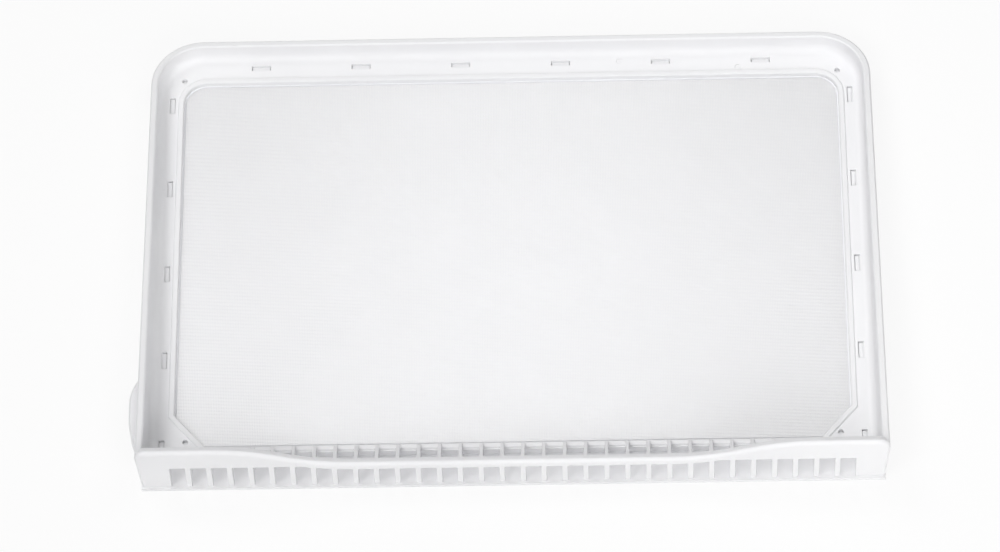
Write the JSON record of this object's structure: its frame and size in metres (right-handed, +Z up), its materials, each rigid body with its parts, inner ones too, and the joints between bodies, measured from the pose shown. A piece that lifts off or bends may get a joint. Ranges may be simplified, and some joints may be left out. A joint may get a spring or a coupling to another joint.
{
  "type": "lint filter",
  "caption": "Shallow tumble dryer lint filter: a tapered tray with a clamped mesh floor and a slotted front bar with a dipped finger grip.",
  "frame": {"origin": "middle of the tray's width and depth, on the plane that it lies on", "axes": "+X to the right along the front bar, +Y from the front bar to the back wall, +Z up out of the tray"},
  "size_m": [0.4071, 0.2796, 0.0362],
  "materials": {
    "white_plastic": "satin white moulded plastic",
    "mesh": "fine white woven mesh"
  },
  "bodies": {
    "root": {"filter_frame": "white_plastic", "mesh_screen": "mesh", "mesh_retainer": "white_plastic"}
  },
  "joints": []
}
